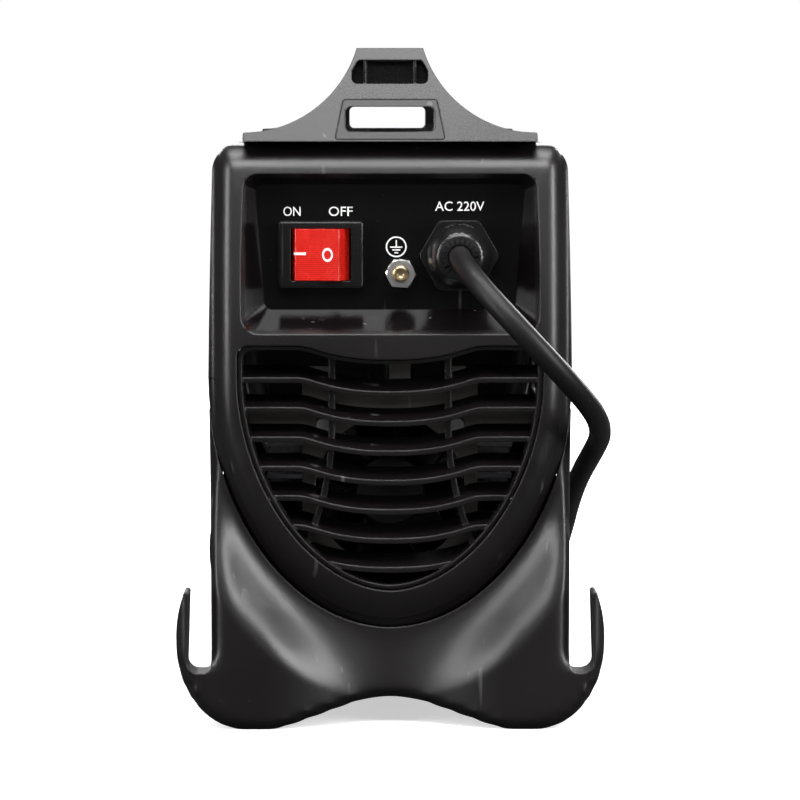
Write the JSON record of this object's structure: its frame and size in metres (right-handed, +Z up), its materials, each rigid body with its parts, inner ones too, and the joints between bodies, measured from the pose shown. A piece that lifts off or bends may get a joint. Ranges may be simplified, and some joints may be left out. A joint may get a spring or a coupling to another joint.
{
  "type": "stick welding inverter",
  "caption": "Portable inverter arc welder: moulded black end panels, louvred rear, carry handle, cord hooks, mains lead and output sockets.",
  "frame": {"origin": "middle of the underside, between the four foot lobes", "axes": "+Z up, -Y towards the mains (rear) side, +Y towards the control side"},
  "size_m": [0.161, 0.4735, 0.252],
  "materials": {
    "case_plastic": "satin moulded ABS",
    "gloss_black": "gloss",
    "cover_paint": "fine-textured powder coat",
    "black_screw": "black oxide",
    "switch_black": "semi-gloss nylon",
    "rocker_red": "translucent red",
    "tinned_metal": "tinned",
    "lead_sheath": "PVC",
    "earth_brass": "machined",
    "nickel": "nickel plate",
    "gland_nylon": "nylon",
    "seal_rubber": "matt",
    "cord_rubber": "satin rubber sheath",
    "tie_strap": "woven strap",
    "plug_rubber": "satin",
    "plug_brass": "polished",
    "fan_plastic": "satin",
    "galvanised": "zinc coat",
    "heatsink_aluminium": "extruded",
    "package_black": "epoxy",
    "board_green": "solder mask",
    "capacitor_sleeve": "PVC sleeve",
    "ferrite": "sintered",
    "winding_tape": "polyester tape",
    "copper": "copper",
    "socket_plastic": "glass-filled nylon",
    "contact_brass": "machined",
    "knob_plastic": "satin",
    "steel": "plated",
    "display_smoke": "smoked",
    "lamp_lens": "clear lens"
  },
  "bodies": {
    "casing": {"rear_panel": "case_plastic", "front_panel": "case_plastic", "rear_skirt": "case_plastic", "front_skirt": "case_plastic", "handle": "case_plastic", "rear_grille": "case_plastic", "strap_plate_rear": "case_plastic", "strap_plate_front": "case_plastic", "front_socket_plate": "case_plastic", "rear_terminal_plate": "gloss_black", "front_control_plate": "gloss_black", "top_cover": "cover_paint", "base_tray": "cover_paint", "cover_screws": "black_screw", "skirt_screws": "black_screw", "handle_screws": "black_screw", "switch_housing": "switch_black", "switch_terminals": "tinned_metal", "fan_screws": "tinned_metal", "board_standoffs": "tinned_metal", "switch_leads": "lead_sheath", "earth_stud": "earth_brass", "earth_nut": "nickel", "earth_washer": "nickel", "contact_nuts": "nickel", "gland_body": "gland_nylon", "gland_cap": "gland_nylon", "gland_locknut": "gland_nylon", "gland_seal": "seal_rubber", "mains_cord": "cord_rubber", "mains_cord_coil": "cord_rubber", "mains_cord_tail": "cord_rubber", "mains_lead_inner": "cord_rubber", "coil_tie": "tie_strap", "plug_body": "plug_rubber", "plug_pins": "plug_brass", "fan_frame": "fan_plastic", "fan_bracket": "galvanised", "heatsink_left": "heatsink_aluminium", "heatsink_right": "heatsink_aluminium", "power_transistors": "package_black", "power_board": "board_green", "control_board": "board_green", "display_module": "board_green", "capacitors": "capacitor_sleeve", "transformer_core": "ferrite", "transformer_winding": "winding_tape", "output_inductor": "winding_tape", "output_busbars": "copper", "output_socket_plus": "socket_plastic", "output_socket_minus": "socket_plastic", "output_contact_plus": "contact_brass", "output_contact_minus": "contact_brass", "potentiometer": "steel", "display_window": "display_smoke", "indicator_lamps": "lamp_lens"},
    "rocker": {"switch_rocker": "rocker_red"},
    "rotor": {"fan_rotor": "fan_plastic"},
    "knob": {"current_knob": "knob_plastic", "knob_shaft": "steel"}
  },
  "joints": [
    {"name": "rocker_tilt", "type": "hinge", "parent": "casing", "child": "rocker", "pos_m": [-0.0257, -0.125, 0.1753], "axis": [0, 0, 1], "range_deg": [0, 20]},
    {"name": "fan_spin", "type": "hinge", "parent": "casing", "child": "rotor", "pos_m": [0, -0.1, 0.086], "axis": [0, 1, 0], "continuous": true},
    {"name": "current_knob_turn", "type": "hinge", "parent": "casing", "child": "knob", "pos_m": [-0.024, 0.13, 0.178], "axis": [0, 1, 0], "range_deg": [-135, 135]}
  ]
}
